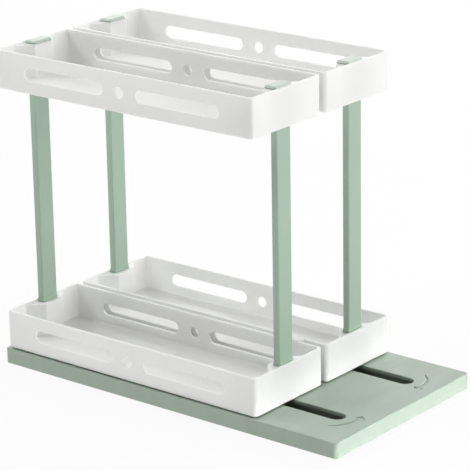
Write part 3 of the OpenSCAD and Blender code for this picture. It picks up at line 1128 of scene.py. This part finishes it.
    def slot(self, side: Side) -> Piece:
        """Makes the tool for a slot through the deck, its lip rounded.

        Args:
            side: The rack that runs in it.

        Returns:
            The tool.
        """
        front, rear = self.slot_ends(side)
        length = rear.y - front.y + self.slot_width
        outline = Outline.block(self.slot_width, length, self.slot_width / 2, Chords.TURNED)
        lip, top = self.slot_lip, self.space.high.z
        edge = arc((-lip, top - lip), lip, 0, 90, Chords.FAIR)
        profile = [(0.0, self.deck_under - OVER), *edge, (-lip, top + OVER)]
        return loft("slot", outline, profile, (front + rear) / 2)

    def arrow(self, side: Side) -> Piece:
        """Makes the tool that engraves the turning arrow before a slot, with a rounded lip.

        Args:
            side: The rack that the arrow is for.

        Returns:
            The tool.
        """
        start = self.arrow_start if side is Side.LEFT else 180 - self.arrow_start
        sweep = -side.value * (self.arrow_neck - self.arrow_start)
        head = (self.arrow_head_width, self.arrow_head_length)
        outline = BentArrow(self.arrow_radius, start, sweep, self.arrow_band, *head)
        front, _ = self.slot_ends(side)
        centre = front + Vector((-side.value * self.arrow_inward, self.arrow_back, 0.0))
        lip, top = self.arrow_lip, self.space.high.z
        edge = arc((-lip, top - lip), lip, 0, 90)
        return loft("arrow", outline, [(0.0, top - self.arrow_depth), *edge, (-lip, top + OVER)], centre)

    def build_screws(self) -> None:
        """Builds the eight countersunk screws under the base."""
        space = Box.of("cover_screws")
        head = (Head.COUNTERSUNK, self.screw_head, self.screw_head_height)
        screw = Screw(*head, shank=self.screw_shank, length=space.size.z, pitch=self.screw_pitch)
        one = screw.made("cover_screw", self.shop, OVERTURNED)
        screws = self.shop.set_out("base_screws", one, self.screw_grid(space.low.z), ZINC)
        hand_over(screws, ZINC, "base", "cover_screws")

    def build_pads(self) -> None:
        """Builds the six round pads, with ring grooves in their soles."""
        space = Box.of("foot_pads")
        height, groove, edge, back = space.size.z, self.pad_groove, self.pad_edge, self.pad_back
        pitch = (self.pad / 2 - edge) / (self.pad_rings + 1)
        sole = []
        for ring in range(self.pad_rings, 0, -1):
            inset = edge + pitch * ring
            sole += [(inset + groove, 0.0), (inset, groove), (inset - groove, 0.0)]
        sole += [(edge, 0.0), (0.0, edge), (0.0, height - back), (back, height)]
        one, at = loft("pad", Outline.disc(self.pad), sole), Vector((0.0, 0.0, space.low.z))
        grid = Grid.filling(self.pad_columns, self.pad_rows, space.size, self.pad, at)
        pads = self.shop.set_out("base_pads", one, grid, RUBBER)
        hand_over(pads, RUBBER, "base", "foot_pads")


# The racks


@dataclass(frozen=True)
class Tray:
    """One tray: a thin-walled box with long side openings and a boss for a post inside each end."""

    shop: Workshop
    side: Side
    tier: Tier
    wall: float = 2.0 * MM
    floor: float = 2.2 * MM
    corner_radius: float = 3.0 * MM
    inner_radius: float = 1.8 * MM
    lower_round: float = 0.8 * MM
    rim_round: float = 0.5 * MM
    floor_fillet: float = 1.4 * MM
    boss_face: float = 17.5 * MM
    boss_root: float = 40.0 * MM
    boss_reach: float = 12.2 * MM
    boss_drop: float = 1.0 * MM
    boss_round: float = 0.9 * MM
    boss_edge: float = 0.4 * MM
    wall_step: float = 0.02 * MM
    vent_length: float = 73.0 * MM
    vent_height: float = 9.0 * MM
    vent_near: float = 14.5 * MM
    vent_hole: float = 8.0 * MM
    vent_lip: float = 0.5 * MM
    lug: Vector = Vector((2.2 * MM, 11.0 * MM, 4.0 * MM))
    lug_back: float = 20.0 * MM
    lug_rise: float = 0.8 * MM
    lug_round: float = 0.4 * MM
    post: Vector = Vector((15.0 * MM, 5.5 * MM))
    post_radius: float = 1.0 * MM
    play: float = 0.1 * MM
    socket_depth: float = 18.0 * MM
    shoulder: float = 0.7 * MM
    screw_hole: float = 2.9 * MM
    screw_head_hole: float = 6.2 * MM
    foot_recess: float = 2.6 * MM
    head_pocket: float = 4.0 * MM
    spigot_hole: float = 9.1 * MM
    spigot_depth: float = 5.0 * MM
    pivot_boss: float = 13.0 * MM
    pivot_roof: float = 1.2 * MM
    pivot_hole: float = 4.1 * MM
    stud_fillet: float = 1.0 * MM
    glide_columns: int = 2
    glide_rows: int = 3
    glide_seat: float = 9.1 * MM
    glide_depth: float = 0.8 * MM

    @property
    def part(self) -> str:
        """The tray's word among the rack's parts."""
        return f"{self.tier.value}_tray"

    @property
    def size(self) -> Vector:
        """The tray's outer width, length and height, without the lug."""
        return self.side.box("upper_tray").size

    @property
    def foot(self) -> Vector:
        """The middle of the tray's underside."""
        plan = self.side.box("upper_tray").centre
        return Vector((plan.x, plan.y, self.side.box(self.part).low.z))

    @property
    def boss_top(self) -> float:
        """The height of the bosses over the tray's underside."""
        return self.size.z - self.boss_drop

    @property
    def cavity(self) -> Outline:
        """The inside of the tray, with the bosses left out of it."""
        x, y = self.size.x / 2 - self.wall, self.size.y / 2 - self.wall
        root, face, reach = self.boss_root / 2, self.boss_face / 2, self.size.y / 2 - self.boss_reach
        half = ((-x, -y), (-root, -y), (-face, -reach), (face, -reach), (root, -y), (x, -y))
        corner, nose = self.inner_radius, self.boss_round
        radii = (corner, corner, nose, nose, corner, corner)
        return Outline(half + tuple((-a, -b) for a, b in half), radii * 2, Chords.FINE)

    def axis(self, part: str) -> Vector:
        """The upright axis of one of the rack's parts, measured from the middle of the tray."""
        away = self.side.box(part).centre - self.foot
        return Vector((away.x, away.y, 0.0))

    def build(self) -> None:
        """Builds and dresses the tray."""
        tray = self.shell()
        join(tray, [self.rim_room()], Join.CUT)
        bosses_end = self.boss_root / 2 - 2 * self.inner_radius
        soften(tray, self.boss_top, self.boss_edge, lambda place: abs(place.x) < bosses_end)
        if self.tier is Tier.LOWER:
            join(tray, [self.spacer_lug(), self.stud_boss()], Join.ADD)
        join(tray, self.vents(), Join.CUT)
        join(tray, self.lower_holes() if self.tier is Tier.LOWER else self.upper_holes(), Join.CUT)
        tray.data.transform(Matrix.Translation(self.foot))
        hand_over(tray, WHITE, self.side.rack, self.side.node(self.part))

    def shell(self) -> Piece:
        """Makes the box itself, standing on z = 0 round the origin.

        Returns:
            The box, with bosses as high as its rim.
        """
        size, lower, rim, fillet = self.size, self.lower_round, self.rim_round, self.floor_fillet
        top, bed = size.z - rim, self.floor + fillet
        outside = [*arc((lower, lower), lower, 270, 180, Chords.FAIR), *arc((rim, top), rim, 180, 90)]
        inside = [*arc((-rim, top), rim, 90, 0), *arc((fillet, bed), fillet, 180, 270, Chords.FINE)]
        skin = Skin()
        foot, edge = skin.wall(Outline.block(size.x, size.y, self.corner_radius), outside)
        lip, ground = skin.wall(self.cavity, inside)
        skin.lid(foot)
        skin.land(edge, lip)
        skin.lid(ground)
        return skin.made(f"tray_{self.side.word}_{self.tier.value}")

    def rim_room(self) -> Piece:
        """Makes the tool that takes the bosses down below the rim.

        It lies a hair inside the walls, so that none of its faces falls on one of theirs.

        Returns:
            The tool.
        """
        rim, top, out = self.rim_round, self.size.z, -self.wall_step
        width, length = self.size.x - 2 * self.wall, self.size.y - 2 * self.wall
        edge = arc((out - rim, top - rim), rim, 0, 90)
        profile = [(out, self.boss_top), *edge, (out - rim, top + OVER)]
        return loft("rim room", Outline.block(width, length, self.inner_radius, Chords.FINE), profile)

    def spacer_lug(self) -> Piece:
        """Makes the lug on the wall that faces the other rack.

        Returns:
            The lug, rooted in the middle of the wall.
        """
        width, length, height = self.lug
        top, edge = self.size.z + self.lug_rise, self.lug_round
        outline = Outline.block(width + self.wall / 2, length, edge, Chords.FEW)
        crown = arc((edge, top - edge), edge, 180, 90)
        inner, outer = self.size.x / 2 - self.wall / 2, self.size.x / 2 + width
        x, y = -self.side.value * (inner + outer) / 2, -self.size.y / 2 + self.lug_back + length / 2
        profile = [(edge, top - height), (0.0, top - height + edge), *crown]
        return loft("lug", outline, profile, Vector((x, y)))

    def stud_boss(self) -> Piece:
        """Makes the boss over the stud's spigot, with a fillet round its foot.

        Returns:
            The boss.
        """
        top, fillet, edge = self.spigot_depth + self.pivot_roof, self.stud_fillet, self.lug_round
        profile = [
            (-fillet, self.floor / 2),
            *arc((-fillet, self.floor + fillet), fillet, 270, 360, Chords.FAIR),
            *arc((edge, top - edge), edge, 180, 90),
        ]
        disc = Outline.disc(self.pivot_boss, Chords.LARGE)
        return loft("stud boss", disc, profile, self.axis("pivot_stud"))

    def vents(self) -> list[Piece]:
        """Makes the tools for the long side openings and the round ones between them.

        Returns:
            The tools.
        """
        half, lip = self.wall / 2, self.vent_lip
        profile = [
            (-lip, -half - OVER),
            *arc((-lip, -half + lip), lip, 270, 360, Chords.FAIR),
            *arc((-lip, half - lip), lip, 0, 90, Chords.FAIR),
            (-lip, half + OVER),
        ]
        # The loft runs along Z, so it is turned to run along X, with the opening's length along Y
        across = Matrix(((0, 0, 1, 0), (1, 0, 0, 0), (0, 1, 0, 0), (0, 0, 0, 1)))
        walls, middle = self.size.x - self.wall, Vector((0.0, 0.0, self.size.z / 2))
        long = Outline.block(self.vent_length, self.vent_height, self.vent_height / 2, Chords.LONG)
        openings = {
            "long vents": (long, Grid(2, 2, walls, 2 * self.vent_near + self.vent_length, middle)),
            "round vents": (Outline.disc(self.vent_hole), Grid(2, 1, walls, 0.0, middle)),
        }
        return [
            self.shop.set_out(name, loft("vent", outline, profile, across), grid)
            for name, (outline, grid) in openings.items()
        ]

    def lower_holes(self) -> list[Piece]:
        """Makes the tools for what is fitted into a lower tray: posts, screws, stud and glide pads.

        Returns:
            The tools.
        """
        seat, tools = self.boss_top - self.socket_depth, []
        width, length = (size + 2 * self.play for size in self.post)
        socket = Outline.block(width, length, self.post_radius, Chords.FEW)
        for end in End:
            at = self.axis(f"{end.value}_post")
            tools += [
                loft("socket", socket, [(0.0, seat), (0.0, self.boss_top + OVER)], at),
                rod(self.screw_hole, -OVER, seat + OVER, at),
                rod(self.screw_head_hole, -OVER, self.foot_recess, at),
            ]
        stud, roof = self.axis("pivot_stud"), self.spigot_depth + self.pivot_roof
        space, pad = self.side.box("glide_pads").size, self.glide_seat - self.play
        grid = Grid.filling(self.glide_columns, self.glide_rows, space, pad, ORIGIN)
        seats = rod(self.glide_seat, -OVER, self.glide_depth, ORIGIN)
        return [
            *tools,
            rod(self.spigot_hole, -OVER, self.spigot_depth, stud),
            rod(self.pivot_hole, 0.0, roof + OVER, stud),
            self.shop.set_out("glide seats", seats, grid),
        ]

    def upper_holes(self) -> list[Piece]:
        """Makes the tools for the tenons and screws of an upper tray.

        Returns:
            The tools.
        """
        width, length = (size - 2 * (self.shoulder - self.play) for size in self.post)
        tenon = Outline.block(width, length, self.post_radius - self.shoulder, Chords.FEW)
        tools = []
        for end in End:
            at = self.axis(f"{end.value}_post")
            depth = self.side.box(f"{end.value}_post").high.z - self.foot.z + 2 * self.play
            tools += [
                loft("tenon hole", tenon, [(0.0, -OVER), (0.0, depth)], at),
                rod(self.screw_hole, depth - OVER, self.size.z, at),
                rod(self.screw_head_hole, self.boss_top - self.head_pocket, self.size.z + OVER, at),
            ]
        return tools


@dataclass(frozen=True)
class Post:
    """A flat post: a foot in the lower tray, a collar on it, the shaft, and a tenon in the upper tray."""

    side: Side
    end: End
    lip: float = 0.5 * MM
    radius: float = 1.0 * MM
    collar: float = 2.5 * MM
    collar_round: float = 0.4 * MM
    lead: float = 0.3 * MM
    break_edge: float = 0.15 * MM
    collar_root: float = 0.1 * MM
    pilot: float = 2.9 * MM
    pilot_depth: float = 14.0 * MM

    def build(self) -> None:
        """Builds and dresses the post."""
        part = f"{self.end.value}_post"
        space, upper = self.side.box(part), self.side.box("upper_tray")
        low, high, at = space.low.z, space.high.z, space.centre
        seat = self.side.box("lower_tray").low.z + upper.size.z - Tray.boss_drop
        shoulder = Tray.shoulder
        top, ceiling = seat + self.collar, upper.low.z - shoulder
        out, curve, root = -self.lip, self.collar_round, self.collar_root
        lead, edge = self.lead, self.break_edge
        profile = [
            (lead, low),
            (0.0, low + lead),
            (0.0, seat),
            (out + edge, seat),
            (out, seat + edge),
            *arc((out + curve, top - curve), curve, 180, 90, Chords.FAIR),
            (-root, top),
            (0.0, top + root),
            (0.0, ceiling - lead),
            (lead, ceiling),
            (shoulder, ceiling),
            (shoulder, high - edge),
            (shoulder + edge, high),
        ]
        shaft = Outline.block(space.size.x - 2 * self.lip, space.size.y - 2 * self.lip, self.radius)
        post = loft(f"post_{self.side.word}_{self.end.value}", shaft, profile, at)
        holes = [
            rod(self.pilot, low - OVER, low + self.pilot_depth, at),
            rod(self.pilot, high - self.pilot_depth, high + OVER, at),
        ]
        join(post, holes, Join.CUT)
        hand_over(post, SAGE, self.side.rack, self.side.node(part))


@dataclass(frozen=True)
class PostCap:
    """The flat cap that closes the top of a post, with a bevelled border and a plug under it."""

    side: Side
    end: End
    radius: float = 1.4 * MM
    bevel: float = 1.0 * MM
    lower_edge: float = 0.25 * MM
    soft: float = 0.15 * MM
    soft_inner: float = 0.045 * MM
    plug: float = 6.1 * MM
    plug_depth: float = 1.8 * MM

    def build(self) -> None:
        """Builds and dresses the cap."""
        part = f"{self.end.value}_cap"
        space = self.side.box(part)
        rim, top, edge = space.low.z + self.plug_depth, space.high.z, self.lower_edge
        bevel, soft, ease = self.bevel, self.soft, self.soft_inner
        profile = [
            (edge, rim),
            (0.0, rim + edge),
            (0.0, top - bevel - soft),
            (ease, top - bevel + ease),
            (bevel - ease, top - ease),
            (bevel + soft, top),
        ]
        plate = Outline.block(space.size.x, space.size.y, self.radius)
        cap = loft(f"cap_{self.side.word}_{self.end.value}", plate, profile, space.centre)
        post = self.side.box(f"{self.end.value}_post").centre
        join(cap, [rod(self.plug, space.low.z, rim + bevel / 2, post)], Join.ADD)
        hand_over(cap, PALE_SAGE, self.side.rack, self.side.node(part))


@dataclass(frozen=True)
class Rack:
    """One rack: two trays on two posts, with its caps, screws, glide pads and pivot."""

    shop: Workshop
    side: Side
    post_screw: Screw = Screw(Head.PAN, 5.6 * MM, 2.0 * MM, shank=2.8 * MM, length=14.0 * MM, pitch=1.1 * MM)
    pivot_screw: Screw = Screw(Head.PAN, 7.0 * MM, 1.8 * MM, shank=4.0 * MM, length=5.8 * MM, pitch=0.7 * MM)
    pad: float = 9.0 * MM
    pad_edge: float = 0.25 * MM

    def build(self) -> None:
        """Builds and dresses the rack."""
        for tier in Tier:
            Tray(self.shop, self.side, tier).build()
        for end in End:
            Post(self.side, end).build()
            PostCap(self.side, end).build()
        self.build_post_screws()
        self.build_pivot_screws()
        self.build_glide_pads()
        for part, finish in (("slide_shoe", ACETAL), ("pivot_stud", ZINC), ("retaining_washer", ZINC)):
            dress(self.side.node(part), finish)

    def build_post_screws(self) -> None:
        """Builds the four screws that hold the posts, two from above and two from below."""
        space, screw = self.side.box("post_screws"), self.post_screw
        front, rear = (self.side.box(f"{end.value}_post").centre for end in End)
        middle = (front + rear) / 2
        seats = {
            "upper": (space.high.z - screw.head_height, Matrix.Identity(4)),
            "lower": (space.low.z + screw.head_height, OVERTURNED),
        }
        for level, (seat, turn) in seats.items():
            one = screw.made("post_screw", self.shop, turn)
            grid = Grid(1, 2, 0.0, rear.y - front.y, Vector((middle.x, middle.y, seat)))
            screws = self.shop.set_out(f"{level}_post_screws_{self.side.word}", one, grid, ZINC)
            hand_over(screws, ZINC, self.side.rack, self.side.node("post_screws"))

    def build_pivot_screws(self) -> None:
        """Builds the two screws of the stud: one in the tray, one under the washer."""
        space, screw = self.side.box("pivot_screws"), self.pivot_screw
        at = space.centre
        upper = Matrix.Translation((at.x, at.y, space.high.z - screw.head_height))
        lower = Matrix.Translation((at.x, at.y, space.low.z + screw.head_height)) @ OVERTURNED
        for level, place in (("upper", upper), ("lower", lower)):
            one = screw.made(f"{level}_pivot_screw_{self.side.word}", self.shop, place)
            hand_over(one, ZINC, self.side.rack, self.side.node("pivot_screws"))

    def build_glide_pads(self) -> None:
        """Builds the six pads that the lower tray glides on."""
        space, edge = self.side.box("glide_pads"), self.pad_edge
        profile = [*arc((edge, edge), edge, 270, 180), (0.0, space.size.z)]
        one = loft("pad", Outline.disc(self.pad), profile)
        at = Vector((space.centre.x, space.centre.y, space.low.z))
        grid = Grid.filling(Tray.glide_columns, Tray.glide_rows, space.size, self.pad, at)
        pads = self.shop.set_out(f"glide_pads_{self.side.word}", one, grid, ACETAL)
        hand_over(pads, ACETAL, self.side.rack, self.side.node("glide_pads"))


# The studio


@dataclass(frozen=True)
class SoftBox:
    """A soft lamp that points at the object."""

    name: str
    at: Vector
    width: float
    height: float
    power: float
    target: Vector = Vector((0.0, 0.0, 0.12))
    spread: float = 180.0

    def hang(self) -> None:
        """Hangs the lamp."""
        data = bpy.data.lights.new(self.name, "AREA")
        data.shape, data.size, data.size_y = "RECTANGLE", self.width, self.height
        data.energy, data.spread = self.power, math.radians(self.spread)
        lamp = stood_up(self.name, data)
        lamp.location = self.at
        lamp.rotation_mode = "QUATERNION"
        lamp.rotation_quaternion = (self.target - self.at).to_track_quat("-Z", "Y")
        lamp.visible_camera = False


# The large boxes light the floors of the trays, the fronts, the backs and, from the right, the insides of the
# walls. The narrow strip lies low and lights the base's front alone. Rim and key draw the bright lines along
# rims and edges, and sheen lies low behind on the right, where the deck and the caps mirror it to the camera.
LAMPS = (
    SoftBox("top", Vector((0.2, -0.1, 2.4)), 1.8, 1.8, 14.0),
    SoftBox("front", Vector((0.4, -2.3, 0.9)), 1.8, 1.4, 25.0),
    SoftBox("strip", Vector((0.05, -0.6, 0.03)), 0.9, 0.04, 0.115, Vector((0.02, -0.15, 0.0)), spread=10.0),
    SoftBox("right", Vector((2.4, -0.3, 1.1)), 1.6, 1.4, 35.0),
    SoftBox("rear", Vector((-0.3, 2.3, 1.4)), 1.6, 1.4, 9.0),
    SoftBox("rim", Vector((-0.9, 1.4, 1.75)), 1.0, 1.0, 18.0),
    SoftBox("key", Vector((1.75, -0.9, 1.45)), 0.35, 0.35, 3.0),
    SoftBox("sheen", Vector((2.1, 1.6, 0.8)), 1.8, 1.0, 11.0),
)


@dataclass(frozen=True)
class Studio:
    """The camera, the pale floor and the soft light."""

    eye: Vector = Vector((-1.2943, -1.0521, 0.6599))
    heading: float = -50.99
    pitch: float = -18.36
    roll: float = -1.02
    lens: float = 190.9
    sensor: float = 36.0
    near: float = 0.05
    far: float = 50.0
    floor_size: float = 14.0
    floor_colour: str = "#4D4D4D"
    floor_glow: float = 0.90
    floor_roughness: float = 0.9
    floor_gloss: float = 0.1
    sky_colour: str = "#FFFFFF"
    sky_strength: float = 0.11

    def build(self) -> None:
        """Builds the studio."""
        self.place_camera()
        self.lay_floor()
        self.light()

    def place_camera(self) -> None:
        """Places the camera where the photograph was taken from."""
        data = bpy.data.cameras.new("camera")
        data.lens, data.sensor_width = self.lens, self.sensor
        data.clip_start, data.clip_end = self.near, self.far
        camera = stood_up("camera", data)
        turns = ((self.heading, "Z"), (90 + self.pitch, "X"), (self.roll, "Z"))
        heading, pitch, roll = (Matrix.Rotation(math.radians(angle), 4, axis) for angle, axis in turns)
        camera.matrix_world = Matrix.Translation(self.eye) @ (heading @ pitch @ roll)
        bpy.context.scene.camera = camera

    def lay_floor(self) -> None:
        """Lays the floor under the pads."""
        half = self.floor_size / 2
        mesh = bpy.data.meshes.new("floor")
        corners = [(-half, -half, 0), (half, -half, 0), (half, half, 0), (-half, half, 0)]
        mesh.from_pydata(corners, [], [(0, 1, 2, 3)])
        material = bpy.data.materials.new("glowing studio floor")
        material.use_nodes = True
        tree = material.node_tree
        paint = {
            "Base Color": linear(self.floor_colour),
            "Roughness": self.floor_roughness,
            "Specular IOR Level": self.floor_gloss,
            "Emission Color": linear(self.sky_colour),
            "Emission Strength": self.floor_glow,
        }
        feed(tree, tree.nodes["Principled BSDF"], paint)
        mesh.materials.append(material)
        stood_up("floor", mesh)

    def light(self) -> None:
        """Hangs the lamps and sets the sky."""
        world = bpy.data.worlds.new("studio")
        world.use_nodes = True
        sky = {"Color": linear(self.sky_colour), "Strength": self.sky_strength}
        feed(world.node_tree, world.node_tree.nodes["Background"], sky)
        bpy.context.scene.world = world
        bpy.context.scene.view_settings.view_transform = "Standard"
        for lamp in LAMPS:
            lamp.hang()


def main() -> None:
    """Builds the studio, the base and the racks."""
    logging.basicConfig(level=logging.INFO, format="%(name)s: %(message)s")
    Studio().build()
    shop = Workshop()
    Base(shop).build()
    for side in Side:
        Rack(shop, side).build()


if __name__ == "__main__":
    main()
